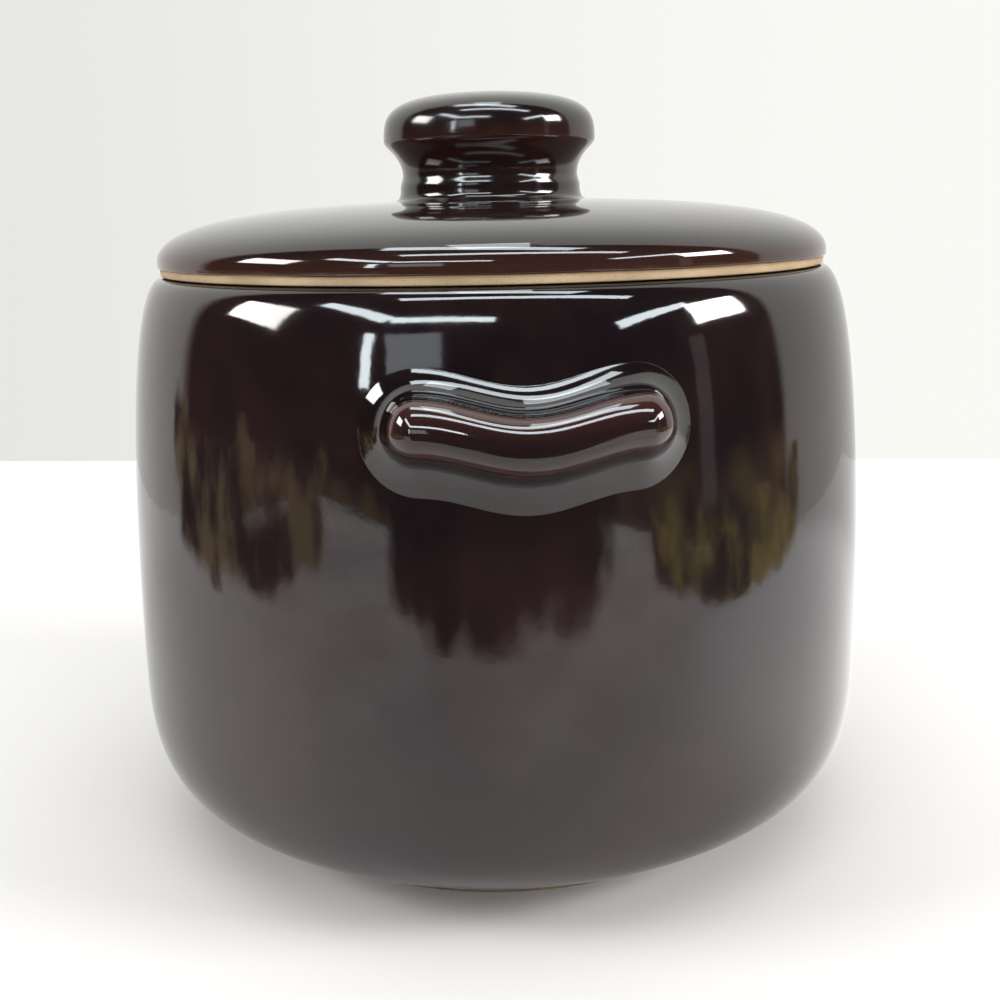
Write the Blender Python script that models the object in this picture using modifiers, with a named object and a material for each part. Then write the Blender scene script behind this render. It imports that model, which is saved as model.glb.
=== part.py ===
# Lidded stoneware bean pot: a thrown pot with two pressed lug handles, and a domed lid with a thrown knob.
# Metres, +Z up. The origin is on the pot's axis, on the surface it stands on, and the front handle faces -Y.

import math

import bmesh
import bpy
from mathutils import Vector
from mathutils.geometry import interpolate_bezier

# Pot, outside
POT_HEIGHT = 0.1251
BELLY_RADIUS = 0.084
BELLY_HEIGHT = 0.0356
SHOULDER_WIDTH = 0.01005
SHOULDER_SLOPE = math.radians(12.2)
SHOULDER_PULL = 0.01003
BELLY_PULL_UP = 0.00544
BELLY_PULL_DOWN = 0.02645
HEEL_WIDTH = 0.0242
HEEL_SLOPE = math.radians(31.2)
HEEL_PULL = 0.016

# Pot, inside and underneath
WALL = 0.0056
FLOOR = 0.007
SEAT_WIDTH = 0.008
MOUTH_ROUND = 0.0008
FOOT_HEIGHT = 0.003
FOOT_STEP = 0.001
FOOT_WIDTH = 0.0055
FOOT_ROUND = 0.0006
RECESS_DEPTH = 0.002

# Handles
HANDLE_DROP = 0.0273
HANDLE_REACH = 0.013
HANDLE_LENGTH = 0.0600
HANDLE_DEPTH = 0.0223
NOSE_LENGTH = 0.0488
NOSE_ABOVE = 0.0056
NOSE_BELOW = 0.0038
NOSE_DEPTH = 0.0043
NOSE_CROWN = 1.6
HANDLE_WAVE = 0.0032
HANDLE_RISE = 0.0023
FILLET_REACH = 0.0088
FILLET_START = math.radians(35)
LEDGE_SLOPE = math.radians(24)
LEDGE_PULL_OUT = 0.0022
LEDGE_PULL_IN = 0.0058
ROOT_EMBED = 0.0025

# Lid
LID_OVERHANG = 0.00045
LID_DOME = 0.0120
LID_DOME_PULL = 0.048
LID_EDGE_PULL = 0.0075
LID_EDGE_HEIGHT = 0.0028
BAND_LEAN = 0.0007
BAND_HEIGHT = 0.0015
SEAT_ROUND = 0.0003
LID_THICKNESS = 0.0058
FLANGE_DEPTH = 0.0085
FLANGE_THICKNESS = 0.005
FLANGE_ROUND = 0.0012

# Knob
KNOB_NECK_RADIUS = 0.01969
KNOB_FOOT_FLARE = 0.00324
KNOB_FOOT_RISE = 0.00559
KNOB_FOOT_PULL = 0.0006
KNOB_NECK_PULL = 0.0018
KNOB_THROAT_PULL = 0.00212
KNOB_LIP_FLARE = 0.0025
KNOB_LIP_RISE = 0.00515
KNOB_LIP_PULL = 0.00158
KNOB_CAP_OVERHANG = 0.00399
KNOB_CAP_RISE = 0.00206
KNOB_LIP_EDGE_PULL = 0.00087
KNOB_CAP_PULL_DOWN = 0.00057
KNOB_CROWN_RISE = 0.0101
KNOB_CAP_PULL_UP = 0.00641
KNOB_CROWN_PULL = 0.0224

# Clearances
SEAT_GAP = 0.0003
LUTE_GAP = 0.0003
FLANGE_CLEARANCE = 0.0015

# Facets
POT_STEPS = 64
LID_STEPS = 64
KNOB_STEPS = 40
SHOULDER_POINTS = 14
HEEL_POINTS = 9
LID_POINTS = 12
KNOB_POINTS = 6
LOBE_POINTS = 14
END_POINTS = 9
FILLET_RINGS = 6
NOSE_RINGS = 4
SHARP_ANGLE = math.radians(30)
WELD_DISTANCE = 0.00001

# What the dimensions above settle
RIM_RADIUS = BELLY_RADIUS - SHOULDER_WIDTH
MOUTH_RADIUS = RIM_RADIUS - SEAT_WIDTH
HEEL_RADIUS = BELLY_RADIUS - HEEL_WIDTH
FOOT_RADIUS = HEEL_RADIUS - FOOT_STEP
HANDLE_HEIGHT = POT_HEIGHT - HANDLE_DROP
FLOOR_HEIGHT = RECESS_DEPTH + FLOOR
LID_RADIUS = RIM_RADIUS + LID_OVERHANG
FLANGE_RADIUS = MOUTH_RADIUS - FLANGE_CLEARANCE
DOME_HEIGHT = LID_EDGE_HEIGHT + LID_DOME


def clear_scene():
    """Empties the scene that the script starts in."""
    for obj in list(bpy.data.objects):
        bpy.data.objects.remove(obj, do_unlink=True)


def new_collection(name):
    """A collection in the scene, for the pot's pieces or for their cutters."""
    collection = bpy.data.collections.new(name)
    bpy.context.scene.collection.children.link(collection)
    return collection


def new_material(name, colour, roughness):
    """A fired surface: its colour, and how much its gloss is broken."""
    material = bpy.data.materials.new(name)
    material.use_nodes = True
    shader = material.node_tree.nodes["Principled BSDF"]
    shader.inputs["Base Color"].default_value = (*colour, 1.0)
    shader.inputs["Roughness"].default_value = roughness
    shader.inputs["Metallic"].default_value = 0.0
    return material


def curve(start, start_pull, end_pull, end, points):
    """A Bezier stretch of a profile, as (radius, height) points. A pull offsets a handle from its end."""
    knots = [start, start + start_pull, end + end_pull, end]
    found = interpolate_bezier(*[knot.to_3d() for knot in knots], points)
    return [point.to_2d() for point in found]


def offset(profile, distance):
    """The profile moved to the left of the way it runs. A point on the axis moves straight up or down."""
    moved = []
    for index, point in enumerate(profile):
        before = profile[max(index - 1, 0)]
        after = profile[min(index + 1, len(profile) - 1)]
        along = (after - before).normalized()
        side = Vector((-along.y, along.x)) if point.x > 0 else Vector((0, 1))
        moved.append(point + distance * side)
    return moved


def outer_wall():
    """The pot's outside from the rim's outer edge down over shoulder and belly to the heel."""
    rim = Vector((RIM_RADIUS, POT_HEIGHT))
    belly = Vector((BELLY_RADIUS, BELLY_HEIGHT))
    heel = Vector((HEEL_RADIUS, FOOT_HEIGHT))
    shoulder_pull = SHOULDER_PULL * Vector((math.cos(SHOULDER_SLOPE), -math.sin(SHOULDER_SLOPE)))
    heel_pull = HEEL_PULL * Vector((math.cos(HEEL_SLOPE), math.sin(HEEL_SLOPE)))
    upper = curve(rim, shoulder_pull, Vector((0, BELLY_PULL_UP)), belly, SHOULDER_POINTS)
    lower = curve(belly, Vector((0, -BELLY_PULL_DOWN)), heel_pull, heel, HEEL_POINTS)
    return upper + lower[1:]


def radius_at(profile, height):
    """The radius of a profile that runs downwards, at this height."""
    for above, below in zip(profile, profile[1:]):
        if above.y >= height > below.y:
            return below.x + (above.x - below.x) * (height - below.y) / (above.y - below.y)
    return profile[0].x if height > profile[0].y else profile[-1].x


def height_at(profile, radius):
    """The height of a profile that runs outwards, at this radius."""
    for inner, outer in zip(profile, profile[1:]):
        if inner.x <= radius < outer.x:
            return inner.y + (outer.y - inner.y) * (radius - inner.x) / (outer.x - inner.x)
    return profile[-1].y


def pot_profile():
    """The pot from the middle of its floor up the inside, over the rim, and down to the foot's middle."""
    wall = outer_wall()
    inner = [point for point in offset(wall, -WALL) if point.y > FLOOR_HEIGHT]
    inner.reverse()
    slope_run = (inner[0].y - FLOOR_HEIGHT) / math.tan(HEEL_SLOPE)
    floor = [Vector((0, FLOOR_HEIGHT)), Vector((inner[0].x - slope_run, FLOOR_HEIGHT))]
    mouth = [
        Vector((MOUTH_RADIUS, inner[-1].y)),
        Vector((MOUTH_RADIUS, POT_HEIGHT - MOUTH_ROUND)),
        Vector((MOUTH_RADIUS + MOUTH_ROUND, POT_HEIGHT)),
    ]
    foot = [
        Vector((FOOT_RADIUS, FOOT_HEIGHT)),
        Vector((FOOT_RADIUS, FOOT_ROUND)),
        Vector((FOOT_RADIUS - FOOT_ROUND, 0)),
        Vector((FOOT_RADIUS - FOOT_WIDTH + FOOT_ROUND, 0)),
        Vector((FOOT_RADIUS - FOOT_WIDTH, FOOT_ROUND)),
        Vector((FOOT_RADIUS - FOOT_WIDTH, RECESS_DEPTH)),
        Vector((0, RECESS_DEPTH)),
    ]
    return floor + inner + mouth + wall + foot


def dome():
    """The lid's top from its middle out and down to its widest edge, above the plane it sits on."""
    middle = Vector((0, DOME_HEIGHT))
    edge = Vector((LID_RADIUS, LID_EDGE_HEIGHT))
    return curve(middle, Vector((LID_DOME_PULL, 0)), Vector((0, LID_EDGE_PULL)), edge, LID_POINTS)


def lid_profile():
    """The lid from the middle of its dome over the edge, seat and flange, and back in under the dome."""
    top = dome()
    flange_inside = FLANGE_RADIUS - FLANGE_THICKNESS
    band_radius = LID_RADIUS - BAND_LEAN
    edge = [
        Vector((band_radius + SEAT_ROUND, BAND_HEIGHT)),
        Vector((band_radius, SEAT_ROUND)),
        Vector((band_radius - SEAT_ROUND, 0)),
    ]
    flange = [
        Vector((FLANGE_RADIUS, 0)),
        Vector((FLANGE_RADIUS, FLANGE_ROUND - FLANGE_DEPTH)),
        Vector((FLANGE_RADIUS - FLANGE_ROUND, -FLANGE_DEPTH)),
        Vector((flange_inside + FLANGE_ROUND, -FLANGE_DEPTH)),
        Vector((flange_inside, FLANGE_ROUND - FLANGE_DEPTH)),
    ]
    under = [point for point in offset(top, -LID_THICKNESS) if point.x < flange_inside - FLANGE_ROUND]
    under.reverse()
    root = Vector((flange_inside, under[0].y - FLANGE_ROUND))
    return top + edge + flange + [root] + under


def knob_profile():
    """The knob from the middle of its crown down its side to the dome, and in along the dome to the axis."""
    foot = Vector((KNOB_NECK_RADIUS + KNOB_FOOT_FLARE, 0))
    neck = Vector((KNOB_NECK_RADIUS, KNOB_FOOT_RISE))
    lip = Vector((KNOB_NECK_RADIUS + KNOB_LIP_FLARE, neck.y + KNOB_LIP_RISE))
    cap = Vector((KNOB_NECK_RADIUS + KNOB_CAP_OVERHANG, lip.y + KNOB_CAP_RISE))
    crown = Vector((0, cap.y + KNOB_CROWN_RISE))
    out_and_up = Vector((1, 1)).normalized()
    seat = [Vector((point.x, point.y - DOME_HEIGHT + LUTE_GAP)) for point in dome()]
    foot.y = height_at(seat, foot.x)
    lip_edge_pull = out_and_up * KNOB_LIP_EDGE_PULL
    lip_pull = -out_and_up * KNOB_LIP_PULL
    side = curve(crown, Vector((KNOB_CROWN_PULL, 0)), Vector((0, KNOB_CAP_PULL_UP)), cap, KNOB_POINTS)
    side += curve(cap, Vector((0, -KNOB_CAP_PULL_DOWN)), lip_edge_pull, lip, KNOB_POINTS)[1:]
    side += curve(lip, lip_pull, Vector((0, KNOB_THROAT_PULL)), neck, KNOB_POINTS)[1:]
    side += curve(neck, Vector((0, -KNOB_NECK_PULL)), Vector((-KNOB_FOOT_PULL, 0)), foot, KNOB_POINTS)[1:]
    return side + [point for point in reversed(seat) if point.x < foot.x]


def turned(name, profile, steps, collection):
    """A piece turned about Z from its profile, which runs down the outer side."""
    mesh = bpy.data.meshes.new(name)
    points = [(point.x, 0, point.y) for point in profile]
    mesh.from_pydata(points, [(index, index + 1) for index in range(len(points) - 1)], [])
    piece = bpy.data.objects.new(name, mesh)
    collection.objects.link(piece)
    screw = piece.modifiers.new("Turn", "SCREW")
    screw.steps = steps
    screw.render_steps = steps
    screw.use_merge_vertices = True
    screw.merge_threshold = WELD_DISTANCE
    screw.use_smooth_shade = True
    return piece


def baked(piece):
    """Gives a turned piece its finished mesh, smooth but for its real edges."""
    graph = bpy.context.evaluated_depsgraph_get()
    mesh = bpy.data.meshes.new_from_object(piece.evaluated_get(graph))
    piece.modifiers.clear()
    piece.data = mesh
    mesh.shade_smooth()
    mesh.set_sharp_from_angle(angle=SHARP_ANGLE)


def lobed_ring(straight, above, below, centre_height):
    """One outline of the lug, as (arc, height): round ends, and a lobe on both sides of a dip."""
    end = (above + below) / 2

    def lifted(along, height):
        rise = (1 - math.cos(math.pi * min(abs(along) / straight, 1))) / 2
        return Vector((along, centre_height + HANDLE_WAVE * rise + height))

    top = [lifted(straight * (2 * step / LOBE_POINTS - 1), above) for step in range(LOBE_POINTS + 1)]
    under = [lifted(straight * (1 - 2 * step / LOBE_POINTS), -below) for step in range(LOBE_POINTS + 1)]
    turns = [math.pi / 2 - math.pi * step / END_POINTS for step in range(1, END_POINTS)]
    rounds = [(end * math.cos(turn), math.sin(turn)) for turn in turns]
    right = [lifted(straight + out, (above if up > 0 else below) * up) for out, up in rounds]
    left = [lifted(-straight - out, -(below if up > 0 else above) * up) for out, up in rounds]
    return top + right + under + left


def depth_below(out):
    """How far the lug reaches below its middle line, this far out from the wall: a fillet, then a round."""
    nose_start = HANDLE_REACH - NOSE_BELOW
    if out > nose_start:
        return math.sqrt(max(NOSE_BELOW ** 2 - (out - nose_start) ** 2, 0))
    level = math.cos(FILLET_START) * (1 - min(max(out, 0) / FILLET_REACH, 1))
    swell = (1 - math.sqrt(1 - level * level)) / (1 - math.sin(FILLET_START))
    return NOSE_BELOW + (HANDLE_DEPTH / 2 - NOSE_BELOW) * swell


def handle_rings():
    """The lug's outlines from inside the wall out to its nose, each with its distance from the wall."""
    root = HANDLE_DEPTH / 2
    root_straight = HANDLE_LENGTH / 2 - root
    nose_straight = NOSE_LENGTH / 2 - (NOSE_ABOVE + NOSE_BELOW) / 2
    ledge_end = Vector((HANDLE_REACH - NOSE_DEPTH, NOSE_ABOVE))
    pull_out = LEDGE_PULL_OUT * Vector((math.sin(LEDGE_SLOPE), -math.cos(LEDGE_SLOPE)))
    ledge = curve(Vector((0, root)), pull_out, Vector((-LEDGE_PULL_IN, 0)), ledge_end, FILLET_RINGS + 1)
    sections = [(-ROOT_EMBED, root, root)]
    for point in ledge:
        sections.append((point.x, point.y, depth_below(point.x)))
    last_turn = math.pi / 2 * NOSE_RINGS / (NOSE_RINGS + 1)
    for ring in range(1, NOSE_RINGS + 1):
        turn = last_turn * ring / NOSE_RINGS
        above = NOSE_ABOVE * math.cos(turn) ** (2 / NOSE_CROWN)
        out = ledge_end.x + NOSE_DEPTH * math.sin(turn)
        sections.append((out if ring < NOSE_RINGS else HANDLE_REACH, above, depth_below(out)))
    rings = []
    for out, above, below in sections:
        share = max(out, 0) / HANDLE_REACH
        straight = root_straight + (nose_straight - root_straight) * share
        rings.append((out, lobed_ring(straight, above, below, HANDLE_RISE * share)))
    return rings


def handle_mesh():
    """The lug as a loft through its outlines, bent round the pot's wall. Its height 0 is HANDLE_HEIGHT."""
    wall = outer_wall()
    shape = bmesh.new()
    loops = []
    for out, outline in handle_rings():
        loop = []
        for along, height in outline:
            radius = radius_at(wall, HANDLE_HEIGHT + height) + out
            angle = along / radius
            loop.append(shape.verts.new((radius * math.sin(angle), -radius * math.cos(angle), height)))
        loops.append(loop)
    count = len(loops[0])
    for near, far in zip(loops, loops[1:]):
        for index in range(count):
            after = (index + 1) % count
            shape.faces.new((near[index], near[after], far[after], far[index]))
    for loop in (loops[0], loops[-1]):
        close_end(shape, loop)
    bmesh.ops.recalc_face_normals(shape, faces=shape.faces)
    mesh = bpy.data.meshes.new("lug_handle")
    shape.to_mesh(mesh)
    shape.free()
    mesh.shade_smooth()
    return mesh


def close_end(shape, loop):
    """Closes one end of the lug with strips from its upper edge to its lower edge."""
    count = len(loop)
    middle = count // 2
    first_left = count - (END_POINTS - 1) // 2
    order = loop[first_left:] + loop[:first_left]
    upper = order[:middle]
    lower = order[middle:][::-1]
    for index in range(middle - 1):
        shape.faces.new((upper[index], upper[index + 1], lower[index + 1], lower[index]))


def make_pot(collection, material):
    pot = turned("pot_body", pot_profile(), POT_STEPS, collection)
    baked(pot)
    pot.data.materials.append(material)
    return pot


def make_seat_cutter(collection):
    """The pot's outer wall, filled to the axis and let out by the gap, which cuts the handles' backs."""
    wall = [Vector((point.x + LUTE_GAP, point.y)) for point in outer_wall()]
    profile = [Vector((0, wall[0].y))] + wall + [Vector((0, wall[-1].y))]
    cutter = turned("handle_seat_cutter", profile, POT_STEPS, collection)
    baked(cutter)
    cutter.hide_render = True
    cutter.display_type = "WIRE"
    return cutter


def make_handle(name, mesh, turn, pot, cutter, collection, material):
    """One lug, luted to the pot's wall: turned about the pot's axis to its side and cut to the wall."""
    handle = bpy.data.objects.new(name, mesh.copy())
    collection.objects.link(handle)
    handle.parent = pot
    handle.location = (0, 0, HANDLE_HEIGHT)
    handle.rotation_euler = (0, 0, turn)
    handle.data.materials.append(material)
    cut = handle.modifiers.new("Seat", "BOOLEAN")
    cut.operation = "DIFFERENCE"
    cut.solver = "EXACT"
    cut.object = cutter
    return handle


def make_lid(collection, material):
    """The lid, with its origin on the joint's axis, in the plane that it sits on."""
    lid = turned("lid", lid_profile(), LID_STEPS, collection)
    baked(lid)
    lid.location = (0, 0, POT_HEIGHT + SEAT_GAP)
    lid.data.materials.append(material)
    return lid


def make_knob(lid, collection, material):
    """The knob, with its origin where the axis meets the top of the dome."""
    knob = turned("lid_knob", knob_profile(), KNOB_STEPS, collection)
    baked(knob)
    knob.parent = lid
    knob.location = (0, 0, DOME_HEIGHT)
    knob.data.materials.append(material)
    return knob


clear_scene()
pieces = new_collection("bean_pot")
cutters = new_collection("cutters")
body_glaze = new_material("body_glaze", (0.012, 0.007, 0.007), 0.07)
handle_glaze = new_material("handle_glaze", (0.020, 0.009, 0.0075), 0.07)
lid_glaze = new_material("lid_glaze", (0.012, 0.007, 0.007), 0.08)
knob_glaze = new_material("knob_glaze", (0.014, 0.0075, 0.007), 0.07)

pot_body = make_pot(pieces, body_glaze)
seat_cutter = make_seat_cutter(cutters)
lug = handle_mesh()
make_handle("handle_front", lug, 0, pot_body, seat_cutter, pieces, handle_glaze)
make_handle("handle_rear", lug, math.pi, pot_body, seat_cutter, pieces, handle_glaze)
pot_lid = make_lid(pieces, lid_glaze)
make_knob(pot_lid, pieces, knob_glaze)
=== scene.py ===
import math

import bpy
from mathutils import Matrix, Quaternion, Vector, noise
from mathutils.geometry import interpolate_bezier


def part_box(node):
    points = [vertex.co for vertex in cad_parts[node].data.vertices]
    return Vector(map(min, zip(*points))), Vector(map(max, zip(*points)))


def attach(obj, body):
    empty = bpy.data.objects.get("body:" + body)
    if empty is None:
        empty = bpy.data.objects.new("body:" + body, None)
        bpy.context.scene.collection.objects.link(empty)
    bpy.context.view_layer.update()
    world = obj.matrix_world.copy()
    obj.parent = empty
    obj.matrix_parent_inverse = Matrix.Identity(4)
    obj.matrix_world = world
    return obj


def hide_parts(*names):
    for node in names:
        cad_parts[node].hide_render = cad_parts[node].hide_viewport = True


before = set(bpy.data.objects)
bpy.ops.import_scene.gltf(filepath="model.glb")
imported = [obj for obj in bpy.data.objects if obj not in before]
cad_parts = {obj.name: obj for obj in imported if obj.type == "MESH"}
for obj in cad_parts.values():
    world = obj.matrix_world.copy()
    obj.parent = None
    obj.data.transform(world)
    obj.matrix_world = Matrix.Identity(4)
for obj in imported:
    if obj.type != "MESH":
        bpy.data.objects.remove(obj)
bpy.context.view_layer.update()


# The pot is turned on a wheel in buff stoneware clay: a broad belly, a shoulder that rolls in to a flat rim,
# and a trimmed foot ring. It is dipped inside and out in a dark brown gloss glaze, and its foot is wiped
# bare before the firing.
pot_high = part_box("pot_body")[1]
BELLY_RADIUS = pot_high.x
POT_HEIGHT = pot_high.z
BELLY_HEIGHT = 0.0356
BELLY_PULL_UP = 0.00544
BELLY_PULL_DOWN = 0.02645
RIM_INSET = 0.01005
RIM_RADIUS = BELLY_RADIUS - RIM_INSET
RIM_WIDTH = 0.008
SHOULDER_SLOPE = math.radians(12.2)
SHOULDER_PULL = 0.01003
SHOULDER_POINTS = 56
MOUTH_RADIUS = RIM_RADIUS - RIM_WIDTH
MOUTH_ROUND = 0.0011
LEDGE_ROUND = 0.0022
HEEL_INSET = 0.0242
HEEL_RADIUS = BELLY_RADIUS - HEEL_INSET
HEEL_HEIGHT = 0.003
HEEL_SLOPE = math.radians(31.2)
HEEL_PULL = 0.016
HEEL_POINTS = 34
POT_WALL = 0.0056
POT_FLOOR = 0.009
FLOOR_STEPS = 6
FLOOR_CORNER = 0.013
FLOOR_CORNER_POINTS = 10
FOOT_INSET = 0.001
FOOT_RADIUS = HEEL_RADIUS - FOOT_INSET
FOOT_WIDTH = 0.0055
FOOT_ROUND = 0.0007
RECESS_HEIGHT = 0.002
POT_TURNS = 192
ARC_PULL = 0.5523
MERGE_DISTANCE = 0.000001
WAVER_DEPTH = 0.00014
WAVER_COUNT = 2.3
WAVER_LENGTH = 0.045
GLAZE_LAP = 0.0004
GLAZE_IOR = 1.62
THIN_RIM_MIDDLE = 0.0004
THIN_RIM_REACH = 0.0016
POT_COLOURS = ((0.0085, 0.0055, 0.0065), (0.0200, 0.0095, 0.0095), (0.055, 0.021, 0.013))
BARE_HEIGHT = HEEL_HEIGHT - GLAZE_LAP
BARE_RADIUS = FOOT_RADIUS - 1.2 * FOOT_WIDTH
# Painted shade: the foot's bare clay gets colours about a third as bright as the lid's bare clay, for the
# shade under the pot's belly.
FOOT_SHADED_COLOURS = ((0.150, 0.105, 0.062), (0.235, 0.172, 0.108))
GROG_SHADE = 0.6
TOAST_SHADES = (0.7, 0.6, 0.5)
TOAST_BELOW = 0.0004
TOAST_ABOVE = 0.0003
TOAST_DRIFT = 0.0005


def stretch(start, start_pull, end_pull, end, points):
    """A curved stretch of an outline, as (radius, height) points. A pull offsets a handle from its end."""
    knots = [start, start + start_pull, end + end_pull, end]
    return [point.to_2d() for point in interpolate_bezier(*[knot.to_3d() for knot in knots], points)]


def rounded(before, corner, after, size, points=6):
    """A corner of an outline, rounded off over this size to both sides."""
    start = corner + (before - corner).normalized() * size
    end = corner + (after - corner).normalized() * size
    return stretch(start, (corner - start) * ARC_PULL, (corner - end) * ARC_PULL, end, points)


def thickened(outline, wall):
    """The far side of a wall of this thickness, for an outline that runs down its outer face."""
    found = []
    for index, point in enumerate(outline):
        along = outline[min(index + 1, len(outline) - 1)] - outline[max(index - 1, 0)]
        found.append(point + wall * Vector((along.y, -along.x)).normalized())
    return found


def pot_wall():
    """The pot's outer face, from the rim down to the heel."""
    rim = Vector((RIM_RADIUS, POT_HEIGHT))
    belly = Vector((BELLY_RADIUS, BELLY_HEIGHT))
    heel = Vector((HEEL_RADIUS, HEEL_HEIGHT))
    off_rim = SHOULDER_PULL * Vector((math.cos(SHOULDER_SLOPE), -math.sin(SHOULDER_SLOPE)))
    off_heel = HEEL_PULL * Vector((math.cos(HEEL_SLOPE), math.sin(HEEL_SLOPE)))
    shoulder = stretch(rim, off_rim, Vector((0, BELLY_PULL_UP)), belly, SHOULDER_POINTS)
    return shoulder + stretch(belly, Vector((0, -BELLY_PULL_DOWN)), off_heel, heel, HEEL_POINTS)[1:]


def pot_outline():
    """Half of the pot's section, from the middle of its floor up the inside, over the rim and down."""
    wall = pot_wall()
    inside = [point for point in thickened(wall, POT_WALL) if point.y > POT_FLOOR + FLOOR_CORNER / 2]
    inside.reverse()
    floor = Vector((inside[0].x - FLOOR_CORNER, POT_FLOOR))
    rise = (inside[1] - inside[0]).normalized()
    half_corner = Vector((FLOOR_CORNER / 2, 0))
    into_wall = stretch(floor, half_corner, -rise * FLOOR_CORNER / 2, inside[0], FLOOR_CORNER_POINTS)
    ledge = Vector((MOUTH_RADIUS, inside[-1].y))
    lip = Vector((MOUTH_RADIUS, POT_HEIGHT))
    bead = Vector((HEEL_RADIUS, BARE_HEIGHT))
    foot_top = Vector((FOOT_RADIUS, BARE_HEIGHT))
    foot = Vector((FOOT_RADIUS, 0))
    foot_inside = Vector((FOOT_RADIUS - FOOT_WIDTH, 0))
    recess = Vector((foot_inside.x, RECESS_HEIGHT))
    return [
        *[Vector((floor.x * step / FLOOR_STEPS, POT_FLOOR)) for step in range(FLOOR_STEPS)],
        *into_wall,
        *inside[1:-1],
        *rounded(inside[-1], ledge, lip, LEDGE_ROUND),
        *rounded(ledge, lip, wall[0], MOUTH_ROUND),
        *[lip.lerp(wall[0], share) for share in (0.35, 0.6, 0.85)],
        *wall[:-1],
        *rounded(wall[-2], bead, foot_top, GLAZE_LAP),
        *rounded(bead, foot_top, foot, GLAZE_LAP / 2, 4),
        *rounded(foot_top, foot, foot_inside, FOOT_ROUND),
        *rounded(foot, foot_inside, recess, FOOT_ROUND),
        *rounded(foot_inside, recess, Vector((0, RECESS_HEIGHT)), FOOT_ROUND),
        *[Vector((recess.x * share, RECESS_HEIGHT)) for share in (0.94, 0.75, 0.5, 0.25, 0)],
    ]


def close_form():
    """Joins the doubled points of the mesh in Edit Mode, turns its faces outwards and shades it smooth."""
    bpy.ops.mesh.select_all(action="SELECT")
    bpy.ops.mesh.remove_doubles(threshold=MERGE_DISTANCE)
    bpy.ops.mesh.normals_make_consistent(inside=False)
    bpy.ops.object.mode_set(mode="OBJECT")
    bpy.ops.object.shade_smooth()


def turn_on_wheel(name, outline, turns):
    """Draws half of a section, point by point, and spins it about the wheel's axis into a closed form."""
    bpy.ops.object.select_all(action="DESELECT")
    bpy.ops.mesh.primitive_plane_add(size=outline[-2].x, location=(0, 0, 0))
    piece = bpy.context.object
    piece.name = piece.data.name = name
    bpy.ops.object.mode_set(mode="EDIT")
    bpy.ops.mesh.merge(type="CENTER")
    bpy.ops.transform.translate(value=(outline[0].x, 0, outline[0].y))
    for here, there in zip(outline, outline[1:]):
        step = (there.x - here.x, 0, there.y - here.y)
        bpy.ops.mesh.extrude_region_move(TRANSFORM_OT_translate={"value": step})
    bpy.ops.mesh.select_all(action="SELECT")
    bpy.ops.mesh.spin(steps=turns, angle=2 * math.pi, center=(0, 0, 0), axis=(0, 0, 1))
    close_form()
    return piece


def waver(angle, height):
    """How far the wall has drawn in here, in metres: slow swells, as hands leave them."""
    where = Vector((WAVER_COUNT * math.cos(angle), WAVER_COUNT * math.sin(angle), height / WAVER_LENGTH))
    return WAVER_DEPTH * min(max((1 + noise.noise(where)) / 2, 0), 1)


def draw_in(piece, least_radius):
    """Gives a turned piece the potter's waver, fading out towards its middle."""
    for vertex in piece.data.vertices:
        radius = vertex.co.xy.length
        if radius > 0:
            share = min(radius / least_radius, 1)
            angle = math.atan2(vertex.co.y, vertex.co.x)
            vertex.co.xy *= 1 - share * waver(angle, vertex.co.z) / radius


def add(tree, kind, inputs=None, **settings):
    """A node with these settings. Each input is given a value, or the socket that feeds it."""
    made = tree.nodes.new(kind)
    for name, value in settings.items():
        setattr(made, name, value)
    for name, value in (inputs or {}).items():
        if isinstance(value, bpy.types.NodeSocket):
            tree.links.new(value, made.inputs[name])
        else:
            made.inputs[name].default_value = value
    return made


def noise_of(tree, place, scale, detail, roughness=0.55):
    """Cloudy noise over a place, with this many features to each unit of it."""
    inputs = {"Vector": place, "Scale": scale, "Detail": detail, "Roughness": roughness}
    return add(tree, "ShaderNodeTexNoise", inputs).outputs["Fac"]


def between(tree, value, low, high, to_low=0.0, to_high=1.0):
    """A value's run from low to high, eased, and spread from to_low to to_high."""
    inputs = {"Value": value, 1: low, 2: high, 3: to_low, 4: to_high}
    return add(tree, "ShaderNodeMapRange", inputs, interpolation_type="SMOOTHSTEP").outputs["Result"]


def blend(tree, share, first, second):
    """One colour turning into another by this share."""
    return add(tree, "ShaderNodeMix", {"Factor": share, 6: first, 7: second}, data_type="RGBA").outputs[2]


def maths(tree, operation, *values):
    """One step of arithmetic on these values or sockets."""
    return add(tree, "ShaderNodeMath", dict(enumerate(values)), operation=operation).outputs[0]


def relief(tree, height, depth, under=None, strength=1.0):
    """A bumpy surface, this deep in metres, laid over another relief where there is one under it."""
    inputs = {"Height": height, "Strength": strength, "Distance": depth}
    if under:
        inputs["Normal"] = under
    return add(tree, "ShaderNodeBump", inputs).outputs["Normal"]


def new_material(name):
    """A material with nothing set yet, its node tree and its shader."""
    material = bpy.data.materials.new(name)
    material.use_nodes = True
    return material, material.node_tree, material.node_tree.nodes["Principled BSDF"]


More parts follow.
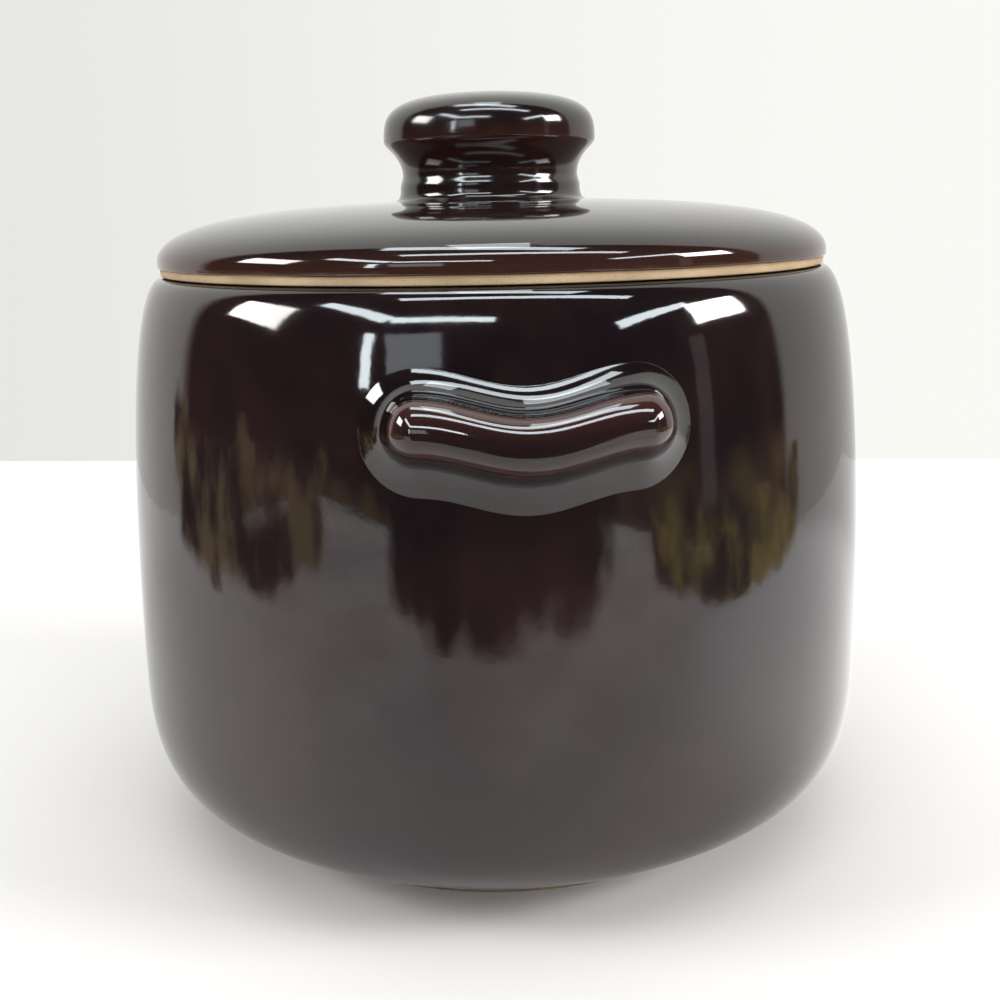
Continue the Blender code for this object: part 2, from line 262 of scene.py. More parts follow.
def glaze(name, thick, warm, thin, smooth=0.045, rough=0.095):
    """A gloss glaze, darkest where it lies thick, warmer in clouds, and copper where it ran thin."""
    material, tree, shader = new_material(name)
    place = add(tree, "ShaderNodeTexCoord").outputs["Object"]
    clouds = between(tree, noise_of(tree, place, scale=24, detail=4), 0.36, 0.7)
    iron = between(tree, noise_of(tree, place, scale=900, detail=2), 0.66, 0.78, to_high=0.5)
    ran_thin = add(tree, "ShaderNodeAttribute", attribute_name="thin").outputs["Fac"]
    colour = blend(tree, clouds, (*thick, 1), (*warm, 1))
    colour = blend(tree, iron, colour, (*thick, 1))
    tree.links.new(blend(tree, ran_thin, colour, (*thin, 1)), shader.inputs["Base Color"])
    smear = noise_of(tree, place, scale=60, detail=5, roughness=0.65)
    tree.links.new(between(tree, smear, 0.35, 0.75, smooth, rough), shader.inputs["Roughness"])
    flow = relief(tree, noise_of(tree, place, scale=55, detail=1), 0.00008)
    peel = relief(tree, noise_of(tree, place, scale=210, detail=2), 0.000012, under=flow)
    fine = relief(tree, noise_of(tree, place, scale=760, detail=2), 0.0000035, under=peel)
    tree.links.new(fine, shader.inputs["Normal"])
    shader.inputs["IOR"].default_value = GLAZE_IOR
    return material


def bare_clay(name, glaze_line, dark, light):
    """Fired stoneware left bare: sandy, in two shades, and toasted close to where the glaze stops."""
    material, tree, shader = new_material(name)
    place = add(tree, "ShaderNodeTexCoord").outputs["Object"]
    height = add(tree, "ShaderNodeSeparateXYZ", {"Vector": place}).outputs["Z"]
    body = between(tree, noise_of(tree, place, scale=70, detail=5), 0.3, 0.7)
    grog = between(tree, noise_of(tree, place, scale=2600, detail=3, roughness=0.7), 0.58, 0.7)
    colour = blend(tree, body, (*dark, 1), (*light, 1))
    colour = blend(tree, grog, colour, (*[GROG_SHADE * share for share in dark], 1))
    uneven = maths(tree, "MULTIPLY_ADD", noise_of(tree, place, scale=240, detail=2), TOAST_DRIFT, height)
    toast = between(tree, uneven, glaze_line - TOAST_BELOW, glaze_line + TOAST_ABOVE)
    toasted = [shade * share for shade, share in zip(TOAST_SHADES, dark)]
    tree.links.new(blend(tree, toast, colour, (*toasted, 1)), shader.inputs["Base Color"])
    tree.links.new(between(tree, body, 0, 1, 0.72, 0.86), shader.inputs["Roughness"])
    sand = noise_of(tree, place, scale=1800, detail=5, roughness=0.7)
    tree.links.new(relief(tree, sand, 0.00008, strength=0.8), shader.inputs["Normal"])
    return material


def leave_bare(piece, material, is_bare):
    """Gives the faces whose middle passes this test the bare clay, as the piece's second material."""
    piece.data.materials.append(material)
    for face in piece.data.polygons:
        if is_bare(face.center.xy.length, face.center.z):
            face.material_index = 1


def run_thin(piece, thinness):
    """Notes on the mesh how far the glaze ran thin at each point, from 0 to 1."""
    marks = piece.data.attributes.new("thin", "FLOAT", "POINT")
    shares = [min(max(thinness(vertex.co), 0), 1) for vertex in piece.data.vertices]
    marks.data.foreach_set("value", shares)


def near(value, middle, reach):
    """1 at the middle, falling smoothly to 0 at this reach from it."""
    share = max(1 - abs(value - middle) / reach, 0)
    return share * share * (3 - 2 * share)


def rim_thinness(place):
    """The glaze draws back from the inner edge of the rim and is thin there."""
    off_edge = (place.xy.length - MOUTH_RADIUS) + (POT_HEIGHT - place.z)
    return near(off_edge, THIN_RIM_MIDDLE, THIN_RIM_REACH)


pot = turn_on_wheel("glazed_pot", pot_outline(), POT_TURNS)
draw_in(pot, MOUTH_RADIUS / 2)
pot_glaze = glaze("pot_glaze", *POT_COLOURS)
pot.data.materials.append(pot_glaze)
# The foot ring's bare clay is made darker than the lid's clay as painted shade.
shaded_foot_clay = bare_clay("shaded_foot_clay", HEEL_HEIGHT, *FOOT_SHADED_COLOURS)
leave_bare(pot, shaded_foot_clay, lambda radius, height: height < BARE_HEIGHT and radius > BARE_RADIUS)
run_thin(pot, rim_thinness)
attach(pot, "pot")
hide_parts("pot_body")


# The two lugs are pressed in a mould, luted to the wall and smoothed in with a wet finger. Each is a bar
# with a lobe at either end and a dip between, on a broad fillet below and a ledge above, where the thumb
# rests. The glaze ran thin and coppery round the bar's edge.
LUG_HEIGHT = 0.0978
LUG_REACH = 0.013
ROOT_LENGTH = 0.0600
ROOT_DEPTH = 0.0223
BAR_LENGTH = 0.0488
BAR_ABOVE = 0.0056
BAR_BELOW = 0.0038
BAR_FRONT = 0.0043
BAR_CROWN = 1.6
LUG_WAVE = 0.0032
LUG_RISE = 0.0023
FILLET_REACH = 0.0088
FILLET_START = math.radians(35)
LEDGE_SLOPE = math.radians(24)
LEDGE_PULL_OUT = 0.0022
LEDGE_PULL_IN = 0.0058
ROOT_EMBED = 0.0022
ROOT_SUNK = 0.00005
EDGE_POINTS = 30
END_POINTS = 22
LEDGE_RINGS = 30
BAR_RINGS = 22
THIN_BAR_MIDDLE = 0.5 * LUG_REACH
THIN_BAR_REACH = 0.34 * LUG_REACH
LUG_COLOURS = ((0.0075, 0.0050, 0.0057), (0.0150, 0.0067, 0.0062), (0.0480, 0.0185, 0.0150))


def lug_below(out):
    """How far the lug reaches below its middle line, this far out: a fillet, then the bar's round edge."""
    bar_start = LUG_REACH - BAR_BELOW
    if out > bar_start:
        return math.sqrt(max(BAR_BELOW ** 2 - (out - bar_start) ** 2, 0))
    level = math.cos(FILLET_START) * (1 - min((out + ROOT_SUNK) / (FILLET_REACH + ROOT_SUNK), 1))
    swell = (1 - math.sqrt(1 - level * level)) / (1 - math.sin(FILLET_START))
    return BAR_BELOW + (ROOT_DEPTH / 2 - BAR_BELOW) * swell


def lug_sections():
    """The lug's outlines from inside the wall to its front, as (distance out, reach up, reach down)."""
    root = ROOT_DEPTH / 2
    off_wall = LEDGE_PULL_OUT * Vector((math.sin(LEDGE_SLOPE), -math.cos(LEDGE_SLOPE)))
    ledge_end = Vector((LUG_REACH - BAR_FRONT, BAR_ABOVE))
    ledge_start = Vector((-ROOT_SUNK, root))
    ledge = stretch(ledge_start, off_wall, Vector((-LEDGE_PULL_IN, 0)), ledge_end, LEDGE_RINGS)
    sections = [(-ROOT_EMBED, root, root)]
    sections += [(point.x, point.y, lug_below(point.x)) for point in ledge]
    for ring in range(1, BAR_RINGS + 1):
        turn = math.pi / 2 * ring / BAR_RINGS
        out = ledge_end.x + BAR_FRONT * math.sin(turn)
        sections.append((out, BAR_ABOVE * max(math.cos(turn), 0) ** (2 / BAR_CROWN), lug_below(out)))
    return sections


def lug_outline(out, above, below):
    """One outline of the lug, anticlockwise from its lower right, as (distance along the wall, height)."""
    share = max(out, 0) / LUG_REACH
    root_straight = (ROOT_LENGTH - ROOT_DEPTH) / 2
    straight = root_straight + ((BAR_LENGTH - BAR_ABOVE - BAR_BELOW) / 2 - root_straight) * share
    end = (above + below) / 2
    points = []
    for side, here, there in ((1, below, above), (-1, above, below)):
        for step in range(END_POINTS):
            turn = math.pi * (step / END_POINTS - 0.5)
            reach = here if turn < 0 else there
            points.append((side * (straight + end * math.cos(turn)), side * reach * math.sin(turn)))
        for step in range(EDGE_POINTS):
            points.append((side * straight * (1 - 2 * step / EDGE_POINTS), side * there))
    lifted = []
    for along, height in points:
        rise = (1 - math.cos(math.pi * min(abs(along) / straight, 1))) / 2
        lifted.append((along, LUG_HEIGHT + LUG_RISE * share + LUG_WAVE * rise + height))
    return lifted


def wall_radius(wall, height):
    """The radius at this height of a wall whose outline runs down from its top."""
    for above, below in zip(wall, wall[1:]):
        if above.y >= height > below.y:
            return below.x + (above.x - below.x) * (height - below.y) / (above.y - below.y)
    return wall[-1].x


def press_lug(name):
    """A ring of points drawn out into a tube, whose rings are then pressed to the lug's outlines."""
    sections = lug_sections()
    count = 2 * (END_POINTS + EDGE_POINTS)
    spacing = LUG_REACH / len(sections)
    bpy.ops.object.select_all(action="DESELECT")
    bpy.ops.mesh.primitive_circle_add(
        vertices=count, radius=ROOT_DEPTH, rotation=(math.pi / 2, 0, 0), location=(0, 0, 0)
    )
    bpy.ops.object.transform_apply(rotation=True)
    lug = bpy.context.object
    lug.name = lug.data.name = name
    bpy.ops.object.mode_set(mode="EDIT")
    bpy.ops.mesh.edge_face_add()
    bpy.ops.mesh.select_all(action="SELECT")
    bpy.ops.mesh.extrude_region_move(TRANSFORM_OT_translate={"value": (0, -spacing, 0)})
    for ring in range(len(sections) - 2):
        bpy.ops.mesh.extrude_region_move(TRANSFORM_OT_translate={"value": (0, -spacing, 0)})
    bpy.ops.mesh.delete(type="ONLY_FACE")
    bpy.ops.object.mode_set(mode="OBJECT")
    wall = pot_wall()
    outlines = [(out, lug_outline(out, above, below)) for out, above, below in sections]
    for vertex in lug.data.vertices:
        ring = round(-vertex.co.y / spacing)
        step = round(math.atan2(vertex.co.z, vertex.co.x) / (2 * math.pi) * count) % count
        out, outline = outlines[ring]
        along, height = outline[step]
        radius = wall_radius(wall, height) + out
        angle = along / radius - math.pi / 2
        radius -= waver(angle, height)
        vertex.co = (radius * math.cos(angle), radius * math.sin(angle), height)
    bpy.ops.object.mode_set(mode="EDIT")
    close_form()
    return lug


def lug_thinness(place):
    """The glaze is thin round the edge of the bar, and lies thicker on its face and in the fillet."""
    out = place.xy.length - BELLY_RADIUS
    return near(out, THIN_BAR_MIDDLE, THIN_BAR_REACH)


front_lug = press_lug("front_lug")
lug_glaze = glaze("lug_glaze", *LUG_COLOURS)
front_lug.data.materials.append(lug_glaze)
run_thin(front_lug, lug_thinness)
bpy.ops.object.duplicate()
rear_lug = bpy.context.object
rear_lug.name = rear_lug.data.name = "rear_lug"
rear_lug.rotation_euler = (0, 0, math.pi)
bpy.ops.object.transform_apply(rotation=True)
for lug, node in ((front_lug, "handle_front"), (rear_lug, "handle_rear")):
    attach(lug, "pot")
    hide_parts(node)


# The lid is a thrown dome that rests on the rim, with a flange under it that keeps it in the mouth. Its
# glaze stops in a small rolled edge just above the seat. Below that line the edge, the seat and the flange
# are bare clay.
lid_low, lid_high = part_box("lid")
LID_RADIUS = lid_high.x
LID_TOP = lid_high.z
FLANGE_DEPTH = 0.0085
SEAT_HEIGHT = lid_low.z + FLANGE_DEPTH
LID_EDGE_RISE = 0.0028
LID_EDGE_HEIGHT = SEAT_HEIGHT + LID_EDGE_RISE
LID_EDGE_PULL = 0.0094
DOME_PULL = 0.046
DOME_POINTS = 60
LID_WALL = 0.0058
BAND_RISE = 0.0017
BAND_LEAN = 0.0007
BAND_RADIUS = LID_RADIUS - BAND_LEAN
SEAT_ROUND = 0.00035
FLANGE_PLAY = 0.0015
FLANGE_RADIUS = MOUTH_RADIUS - FLANGE_PLAY
FLANGE_THICKNESS = 0.005
FLANGE_ROUND = 0.0012
LID_TURNS = 192
GLAZE_LINE = SEAT_HEIGHT + BAND_RISE
GLAZE_LINE_DRIFT = 0.00022
GLAZE_LINE_SWELLS = 3
THIN_EDGE_WIDTH = 0.0045
THIN_EDGE_RISE = 0.007
LID_COLOURS = ((0.0085, 0.0055, 0.0060), (0.0175, 0.0087, 0.0078), (0.036, 0.0145, 0.0105))
LID_CLAY_COLOURS = ((0.47, 0.335, 0.195), (0.61, 0.455, 0.28))


def dome():
    """The lid's top, from its middle out and down to its widest edge."""
    middle = Vector((0, LID_TOP))
    edge = Vector((LID_RADIUS, LID_EDGE_HEIGHT))
    return stretch(middle, Vector((DOME_PULL, 0)), Vector((0, LID_EDGE_PULL)), edge, DOME_POINTS)


def lid_outline():
    """Half of the lid's section: over the dome, down the edge, across the seat and round the flange."""
    top = dome()
    flange_inside = FLANGE_RADIUS - FLANGE_THICKNESS
    roll = Vector((LID_RADIUS, GLAZE_LINE))
    band_top = Vector((BAND_RADIUS + GLAZE_LAP / 2, GLAZE_LINE))
    band_foot = Vector((BAND_RADIUS, SEAT_HEIGHT))
    seat_inside = Vector((FLANGE_RADIUS, SEAT_HEIGHT))
    flange_outer = Vector((FLANGE_RADIUS, lid_low.z))
    flange_inner = Vector((flange_inside, lid_low.z))
    under = [point for point in thickened(top, LID_WALL) if point.x < flange_inside]
    under.reverse()
    root = Vector((flange_inside, under[0].y))
    under = [point for point in under if point.x < flange_inside - 2 * FLANGE_ROUND]
    under[-1].x = 0
    return [
        *top,
        *rounded(top[-1], roll, band_top, GLAZE_LAP),
        *rounded(roll, band_top, band_foot, GLAZE_LAP / 3, 4),
        *rounded(band_top, band_foot, seat_inside, SEAT_ROUND),
        *rounded(band_foot, seat_inside, flange_outer, SEAT_ROUND),
        *rounded(seat_inside, flange_outer, flange_inner, FLANGE_ROUND),
        *rounded(flange_outer, flange_inner, root, FLANGE_ROUND),
        *rounded(flange_inner, root, under[0], 2 * FLANGE_ROUND),
        *under,
    ]


def drift_glaze_line(piece):
    """Lets the line where the glaze stops drift a little up and down on its way round the edge."""
    reach = LID_EDGE_HEIGHT - GLAZE_LINE
    for vertex in piece.data.vertices:
        angle = math.atan2(vertex.co.y, vertex.co.x)
        swell = Vector((GLAZE_LINE_SWELLS * math.cos(angle), GLAZE_LINE_SWELLS * math.sin(angle), 0))
        vertex.co.z += GLAZE_LINE_DRIFT * noise.noise(swell) * near(vertex.co.z, GLAZE_LINE, reach)


def lid_thinness(place):
    """The glaze is thin in a narrow ring just above the line where it stops."""
    return near(place.xy.length, LID_RADIUS, THIN_EDGE_WIDTH) * near(place.z, GLAZE_LINE, THIN_EDGE_RISE)


lid = turn_on_wheel("glazed_lid", lid_outline(), LID_TURNS)
draw_in(lid, MOUTH_RADIUS)
lid_glaze = glaze("lid_glaze", *LID_COLOURS)
lid.data.materials.append(lid_glaze)
lid_clay = bare_clay("lid_clay", GLAZE_LINE, *LID_CLAY_COLOURS)
leave_bare(lid, lid_clay, lambda radius, height: height < GLAZE_LINE)
drift_glaze_line(lid)
run_thin(lid, lid_thinness)
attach(lid, "lid")
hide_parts("lid")


# The knob is a small turned mushroom, luted to the middle of the dome and glazed with it: a flared foot, a
# slight collar and a waist, and a rounded cap over a sloping throat. The glaze is thin and red at the cap's
# lower edge.
knob_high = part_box("lid_knob")[1]
CAP_RADIUS = knob_high.x
CAP_OVERHANG = 0.00399
WAIST_RADIUS = CAP_RADIUS - CAP_OVERHANG
FOOT_FLARE = 0.00324
FOOT_PULL = 0.0014
FOOT_PULL_UP = 0.0028
COLLAR_FLARE = 0.0006
COLLAR_DROP = 0.0030
COLLAR_PULL = 0.0012
WAIST_RISE = 0.00559
THROAT_PULL = 0.00212
LIP_FLARE = 0.0025
LIP_RISE = 0.00515
LIP_PULL = 0.00158
LIP_EDGE_PULL = 0.00087
CAP_RISE = 0.00206
CAP_PULL_DOWN = 0.00057
CAP_PULL_UP = 0.00641
CROWN_PULL = 0.0224
KNOB_EMBED = 0.0015
KNOB_TURNS = 128
THIN_LIP_RISE = 0.001
THIN_LIP_REACH = 0.005
KNOB_COLOURS = ((0.0075, 0.0050, 0.0053), (0.0160, 0.0077, 0.0073), (0.033, 0.012, 0.009))


def knob_outline():
    """Half of the knob's section, from the middle of its crown over the cap and the waist to the dome."""
    surface = dome()
    foot = Vector((WAIST_RADIUS + FOOT_FLARE, 0))
    foot.y = wall_radius([Vector((point.y, -point.x)) for point in surface], -foot.x)
    waist = Vector((WAIST_RADIUS, LID_TOP + WAIST_RISE))
    collar = waist + Vector((COLLAR_FLARE, -COLLAR_DROP))
    lip = Vector((WAIST_RADIUS + LIP_FLARE, waist.y + LIP_RISE))
    cap = Vector((CAP_RADIUS, lip.y + CAP_RISE))
    crown = Vector((0, knob_high.z))
    slant = Vector((1, 1)).normalized()
    return [
        *stretch(crown, Vector((CROWN_PULL, 0)), Vector((0, CAP_PULL_UP)), cap, points=36),
        *stretch(cap, Vector((0, -CAP_PULL_DOWN)), slant * LIP_EDGE_PULL, lip, points=12)[1:],
        *stretch(lip, -slant * LIP_PULL, Vector((0, THROAT_PULL)), waist, points=16)[1:],
        *stretch(waist, Vector((0, -COLLAR_PULL)), Vector((0, COLLAR_PULL)), collar, points=14)[1:],
        *stretch(collar, Vector((0, -FOOT_PULL_UP)), Vector((-FOOT_PULL, 0)), foot, points=18)[1:],
        foot - Vector((0, KNOB_EMBED)),
        Vector((0, foot.y - KNOB_EMBED)),
    ]


def knob_thinness(place):
    """The glaze is thin round the lower edge of the cap."""
    return near(place.z, LID_TOP + WAIST_RISE + LIP_RISE + THIN_LIP_RISE, THIN_LIP_REACH)


knob = turn_on_wheel("glazed_knob", knob_outline(), KNOB_TURNS)
knob_glaze = glaze("knob_glaze", *KNOB_COLOURS, smooth=0.10, rough=0.16)
knob.data.materials.append(knob_glaze)
run_thin(knob, knob_thinness)
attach(knob, "lid")
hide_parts("lid_knob")


# The studio is a pale table in a room that is white behind and dark in front, so that the glaze shows its
# gloss. Its lamps are flat and soft: a panel on the ceiling, tubes overhead and in front, and a window to
# each side. Cards and cloths that are there only to be mirrored in the glaze stand and lie round the pot.
TABLE_LEFT = -0.36
TABLE_RIGHT = 0.42
TABLE_FRONT = -0.62
TABLE_BACK = 0.374
TABLE_TURN = math.radians(-9.5)
TABLE_FLARE = 0.45
CLOTH_COLOURS = ((0.85, 0.84, 0.82, 1), (0.90, 0.895, 0.88, 1))
MATTE = 0.9


def pale_cloth():
    """A matte table cloth in two close whites."""
    material, tree, shader = new_material("pale_cloth")
    place = add(tree, "ShaderNodeTexCoord").outputs["Object"]
    folds = noise_of(tree, place, scale=7, detail=3)
    tree.links.new(blend(tree, folds, *CLOTH_COLOURS), shader.inputs["Base Color"])
    shader.inputs["Roughness"].default_value = MATTE
    return material


bpy.ops.object.select_all(action="DESELECT")
bpy.ops.mesh.primitive_plane_add(size=1, location=(0, 0, 0))
table = bpy.context.object
table.name = table.data.name = "pale_table"
table.scale = (TABLE_RIGHT - TABLE_LEFT, TABLE_BACK - TABLE_FRONT, 1)
table.location = ((TABLE_RIGHT + TABLE_LEFT) / 2, (TABLE_BACK + TABLE_FRONT) / 2, 0)
table.rotation_euler = (0, 0, TABLE_TURN)
bpy.ops.object.transform_apply(location=True, rotation=True, scale=True)
for vertex in table.data.vertices:
    if vertex.co.x < 0 and vertex.co.y < 0:
        vertex.co.x -= TABLE_FLARE
table.data.materials.append(pale_cloth())

LAMP_DISTANCE = 3.0
LAMP_AIM = Vector((0, 0, 0.08))
DAYLIGHT = (1.0, 0.98, 0.95)
TUBE_LIGHT = (0.86, 0.95, 1.0)
DUSKY_LIGHT = (1.0, 0.88, 0.9)


def direction(azimuth, elevation):
    """Out from the pot, in degrees: azimuth 0 is straight in front of it and 90 to its right."""
    turn, rise = math.radians(azimuth), math.radians(elevation)
    return Vector((math.sin(turn) * math.cos(rise), -math.cos(turn) * math.cos(rise), math.sin(rise)))


def area_lamp(name):
    """A flat lamp, out of the camera's sight, that isn't placed or lit yet."""
    placed = bpy.data.objects.new(name, bpy.data.lights.new(name, "AREA"))
    bpy.context.scene.collection.objects.link(placed)
    placed.visible_camera = False
    return placed


def lamp(name, first, second, height, radiance, colour, lights_table=False):
    """A flat lamp, for the glaze to mirror, that runs between two directions, as (azimuth, elevation)."""
    start, end = (LAMP_AIM + LAMP_DISTANCE * direction(*place) for place in (first, second))
    placed = area_lamp(name)
    light = placed.data
    light.shape = "RECTANGLE"
    light.size = (end - start).length
    light.size_y = height
    light.color = colour
    light.energy = radiance * math.pi * light.size * light.size_y
    middle = (start + end) / 2
    back = (middle - LAMP_AIM).normalized()
    along = (end - start).normalized()
    along = (along - back * along.dot(back)).normalized()
    turned = Matrix((along, back.cross(along), back)).transposed()
    placed.matrix_world = Matrix.Translation(middle) @ turned.to_4x4()
    placed.visible_diffuse = lights_table


def fill(name, place, size, energy):
    """A large soft lamp that faces the pot, and that the glaze doesn't mirror."""
    placed = area_lamp(name)
    placed.data.size = size
    placed.data.energy = energy
    placed.location = place
    placed.rotation_mode = "QUATERNION"
    placed.rotation_quaternion = (LAMP_AIM - Vector(place)).to_track_quat("-Z", "Y")
    placed.visible_glossy = False


lamp("window_left", (-97, 27), (-74, 26), height=0.74, radiance=16, colour=DAYLIGHT, lights_table=True)
lamp("window_right", (61, 24.5), (82, 24.5), height=0.60, radiance=26, colour=DAYLIGHT, lights_table=True)
lamp("tube_overhead", (-99, 70), (49, 67), height=0.46, radiance=10, colour=TUBE_LIGHT)
lamp("ceiling_panel", (-102, 83), (104, 83), height=0.80, radiance=6, colour=TUBE_LIGHT)
lamp("tube_high", (-47, 57), (50, 46.6), height=0.30, radiance=12, colour=TUBE_LIGHT)
lamp("tube_low", (-37.6, 31), (-3.3, 32.9), height=0.19, radiance=15, colour=TUBE_LIGHT)
lamp("tube_low_left", (-67, 41.5), (-38.7, 31), height=0.28, radiance=14, colour=TUBE_LIGHT)
lamp("tube_low_right", (35.5, 24.2), (62.7, 31), height=0.19, radiance=14, colour=TUBE_LIGHT)
lamp("tube_upright", (-42.5, 8.4), (-42.5, 22.9), height=0.15, radiance=15, colour=TUBE_LIGHT)
lamp("grey_panel", (-37, 17.3), (-19.6, 19.2), height=0.62, radiance=2.0, colour=TUBE_LIGHT)
lamp("grey_post", (57, 4), (62, 4), height=1.2, radiance=0.36, colour=DUSKY_LIGHT)
fill("overhead", (0, 0, 2.2), size=2.8, energy=24)
fill("front_fill", (0.8, -1.9, 0.8), size=1.8, energy=17)

CARD_LIFT = 0.0005
CARD_MARGIN = 1.2
CARD_WIDENING = 2.2
CARD_SIDE_POWER = 3.0
CARD_FOOT_POWER = 5.0
MAROON = ((0.015, 0.007, 0.008, 1), (0.085, 0.034, 0.032, 1))
OLIVE = ((0.10, 0.07, 0.04, 1), (0.72, 0.56, 0.17, 1))
UMBER = ((0.020, 0.014, 0.015, 1), (0.42, 0.33, 0.17, 1))
SHADED_COLOURS = ((0.68, 0.61, 0.61, 1), (0.88, 0.83, 0.82, 1))
SUNLIT_COLOUR = (1.0, 0.99, 0.98, 1)
SUNLIT_STRENGTH = 1.6
BLACK = (0.0, 0.0, 0.0, 1)


def mirrored_only(piece):
    """Marks a piece of the studio that is there only to be mirrored in the glaze."""
    piece.visible_camera = False
    piece.visible_diffuse = False
    piece.visible_shadow = False


def ragged_edge(tree, spots):
    """How much of a card there is at each spot: all of its middle, and nothing past a rough, round edge."""
    flat = add(tree, "ShaderNodeSeparateXYZ", {"Vector": spots.outputs["UV"]})
    across = maths(tree, "ABSOLUTE", maths(tree, "SUBTRACT", flat.outputs["X"], 0.5))
    wide = maths(tree, "POWER", maths(tree, "MULTIPLY", across, CARD_WIDENING), CARD_SIDE_POWER)
    low = maths(tree, "POWER", maths(tree, "SUBTRACT", 1.0, flat.outputs["Y"]), CARD_FOOT_POWER)
    clouds = noise_of(tree, spots.outputs["Object"], scale=15, detail=2)
    rough = between(tree, clouds, 0.3, 0.7, -0.25, 0.35)
    reach = maths(tree, "ADD", maths(tree, "ADD", wide, low), rough)
    sides = between(tree, reach, 0.65, 1.15, to_low=1.0, to_high=0.0)
    top = between(tree, maths(tree, "ADD", flat.outputs["Y"], rough), 0.6, 1.05, to_low=1.0, to_high=0.0)
    return maths(tree, "MULTIPLY", sides, top)


def card(name, place, width, height, colours, grain):
    """A mottled card that stands on the table and faces the pot, with a ragged, rounded edge."""
    facing = math.atan2(place[0], -place[1])
    bpy.ops.object.select_all(action="DESELECT")
    bpy.ops.mesh.primitive_plane_add(size=1, rotation=(math.pi / 2, 0, 0), location=(0, 0, 0))
    piece = bpy.context.object
    piece.name = piece.data.name = name
    piece.scale = (CARD_MARGIN * width, height, 1)
    piece.rotation_euler = (math.pi / 2, 0, facing)
    piece.location = (*place, height / 2 + CARD_LIFT)
    bpy.ops.object.transform_apply(location=True, rotation=True, scale=True)
    material, tree, shader = new_material(name)
    spots = add(tree, "ShaderNodeTexCoord")
    drawn = {0: spots.outputs["Object"], 1: grain}
    streaks = add(tree, "ShaderNodeVectorMath", drawn, operation="MULTIPLY").outputs["Vector"]
    drift = between(tree, noise_of(tree, streaks, scale=1, detail=4), 0.4, 0.62)
    tree.links.new(blend(tree, drift, *colours), shader.inputs["Base Color"])
    tree.links.new(ragged_edge(tree, spots), shader.inputs["Alpha"])
    shader.inputs["Roughness"].default_value = MATTE
    piece.data.materials.append(material)
    mirrored_only(piece)


def faded_cloth(name, place, width, depth, layer):
    """A matte cloth in this layer on the table, still without a colour, that fades out to a round edge."""
    bpy.ops.object.select_all(action="DESELECT")
    bpy.ops.mesh.primitive_plane_add(size=1, location=(*place, layer * CARD_LIFT))
    piece = bpy.context.object
    piece.name = piece.data.name = name
    piece.scale = (width, depth, 1)
    bpy.ops.object.transform_apply(location=True, rotation=True, scale=True)
    material, tree, shader = new_material(name)
    spots = add(tree, "ShaderNodeTexCoord")
    from_middle = {0: spots.outputs["UV"], 1: (0.5, 0.5, 0)}
    off_middle = add(tree, "ShaderNodeVectorMath", from_middle, operation="DISTANCE").outputs["Value"]
    tree.links.new(between(tree, off_middle, 0.25, 0.5, to_low=1.0, to_high=0.0), shader.inputs["Alpha"])
    shader.inputs["Roughness"].default_value = MATTE
    piece.data.materials.append(material)
    mirrored_only(piece)
    return tree, shader, spots.outputs["Object"]


card("dark_card", (-0.018, -0.264), width=0.28, height=0.15, colours=MAROON, grain=(30, 30, 22))
card("olive_card", (0.268, -0.158), width=0.28, height=0.068, colours=OLIVE, grain=(26, 26, 26))
card("streaked_card", (-0.31, -0.070), width=0.32, height=0.110, colours=UMBER, grain=(30, 30, 20))

# Painted shade: the shaded cloth's greys, darker in patches, stand for the shade that falls on the table in
# front of the pot. Painted light: the sunlit cloth glows as a pool of window light on the table, though it
# is no lamp. Both are seen only in the glaze.
shade_tree, shade, shade_place = faded_cloth("shaded_cloth", (-0.12, -0.36), 1.0, 0.62, layer=2)
painted_shade_patches = between(shade_tree, noise_of(shade_tree, shade_place, scale=10, detail=3), 0.35, 0.68)
shade_tree.links.new(blend(shade_tree, painted_shade_patches, *SHADED_COLOURS), shade.inputs["Base Color"])

sunlit = faded_cloth("sunlit_cloth", (0.25, -0.02), 0.42, 0.42, layer=3)[1]
sunlit.inputs["Base Color"].default_value = BLACK
sunlit.inputs["Emission Color"].default_value = SUNLIT_COLOUR
sunlit.inputs["Emission Strength"].default_value = SUNLIT_STRENGTH

LEFT_CORNER = (math.radians(-72), math.radians(-64))
RIGHT_CORNER = (math.radians(86), math.radians(90))
WALL_TOP = math.radians(45)
CEILING_EDGE = (math.radians(79), math.radians(83))
FLOOR_EDGE = (math.radians(-6), math.radians(-2))
WALL_COLOURS = ((0.92, 0.91, 0.88, 1), (1.30, 1.33, 1.26, 1))
GLOOM_COLOURS = ((0.012, 0.010, 0.014, 1), (0.11, 0.060, 0.050, 1))
FLOOR_COLOURS = ((0.09, 0.06, 0.04, 1), (0.42, 0.30, 0.13, 1))
CEILING_COLOUR = (0.030, 0.024, 0.028, 1)
BACKDROP_REACH = 0.45
BACKDROP_COLOURS = ((0.79, 0.79, 0.765, 1), (0.955, 0.955, 0.915, 1))
EVEN_COLOUR = (0.97, 0.97, 1.0, 1)
EVEN_STRENGTH = 0.45


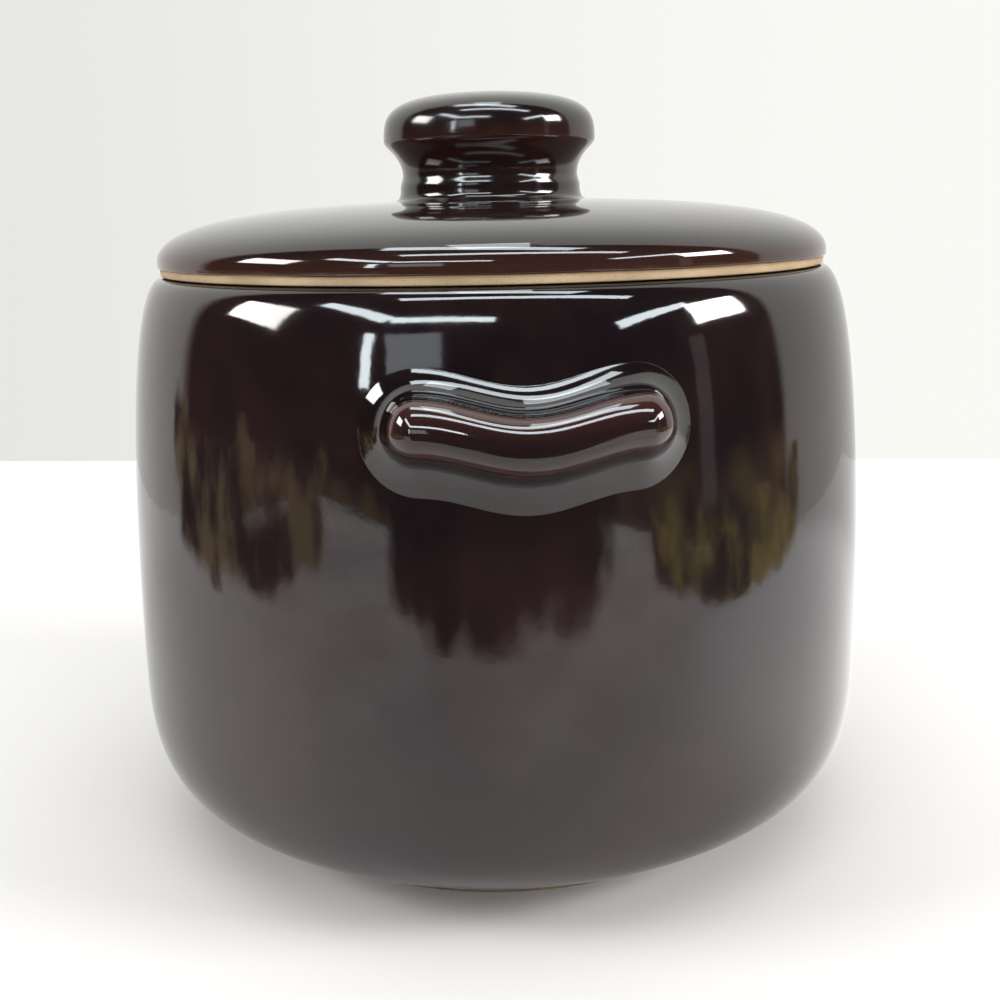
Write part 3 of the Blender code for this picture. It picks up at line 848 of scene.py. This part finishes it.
def mirrored_room(tree, view, way):
    """The room in the glaze: white walls behind, gloom over a warm floor in front, and a dark ceiling."""
    turn = maths(tree, "ARCTAN2", way.outputs["X"], way.outputs["Y"])
    rise = maths(tree, "ARCSINE", way.outputs["Z"])
    left_wall = between(tree, turn, *LEFT_CORNER)
    right_wall = between(tree, turn, *RIGHT_CORNER, to_low=1.0, to_high=0.0)
    walls = maths(tree, "MULTIPLY", left_wall, right_wall)
    wall_colour = blend(tree, between(tree, rise, 0, WALL_TOP), *WALL_COLOURS)
    gloom = between(tree, noise_of(tree, view, scale=3.4, detail=4), 0.48, 0.72)
    boards = between(tree, noise_of(tree, view, scale=5, detail=3), 0.4, 0.65)
    low_down = between(tree, rise, *FLOOR_EDGE, to_low=1.0, to_high=0.0)
    floor_colour = blend(tree, boards, *FLOOR_COLOURS)
    front_colour = blend(tree, low_down, blend(tree, gloom, *GLOOM_COLOURS), floor_colour)
    high_up = between(tree, rise, *CEILING_EDGE)
    return blend(tree, high_up, blend(tree, walls, front_colour, wall_colour), CEILING_COLOUR)


def background(tree, colour, strength=1.0):
    """Light of this colour from every side."""
    return add(tree, "ShaderNodeBackground", {"Color": colour, "Strength": strength}).outputs[0]


world = bpy.data.worlds.new("room")
bpy.context.scene.world = world
world.use_nodes = True
room = world.node_tree
room.nodes.clear()
room_view = add(room, "ShaderNodeTexCoord").outputs["Generated"]
room_way = add(room, "ShaderNodeSeparateXYZ", {"Vector": room_view})
reflected = background(room, mirrored_room(room, room_view, room_way))
to_right = between(room, room_way.outputs["X"], -BACKDROP_REACH, BACKDROP_REACH)
backdrop = background(room, blend(room, to_right, *BACKDROP_COLOURS))
even = background(room, EVEN_COLOUR, EVEN_STRENGTH)
ray = add(room, "ShaderNodeLightPath").outputs
indoors = add(room, "ShaderNodeMixShader", {0: ray["Is Diffuse Ray"], 1: reflected, 2: even}).outputs[0]
mixed = add(room, "ShaderNodeMixShader", {0: ray["Is Camera Ray"], 1: indoors, 2: backdrop}).outputs[0]
add(room, "ShaderNodeOutputWorld", {"Surface": mixed})


# The camera stands where the photograph was taken: low in front of the pot and close to it, a little to the
# left, looking slightly down.
CAMERA_PLACE = Vector((-0.0194, -0.2808, 0.1381))
CAMERA_HEADING = Vector((0.0715, 0.9974))
CAMERA_PITCH = math.radians(13.65)
CAMERA_ROLL = math.radians(-1.2)
LENS = 43.2
SENSOR_WIDTH = 36
NEAREST = 0.01

camera = bpy.data.objects.new("camera", bpy.data.cameras.new("camera"))
bpy.context.scene.collection.objects.link(camera)
sight = Vector((*(CAMERA_HEADING.normalized() * math.cos(CAMERA_PITCH)), -math.sin(CAMERA_PITCH)))
camera.rotation_mode = "QUATERNION"
camera.rotation_quaternion = sight.to_track_quat("-Z", "Y") @ Quaternion((0, 0, 1), CAMERA_ROLL)
camera.location = CAMERA_PLACE
camera.data.lens = LENS
camera.data.sensor_width = SENSOR_WIDTH
camera.data.clip_start = NEAREST
bpy.context.scene.camera = camera
bpy.context.scene.view_settings.view_transform = "Standard"
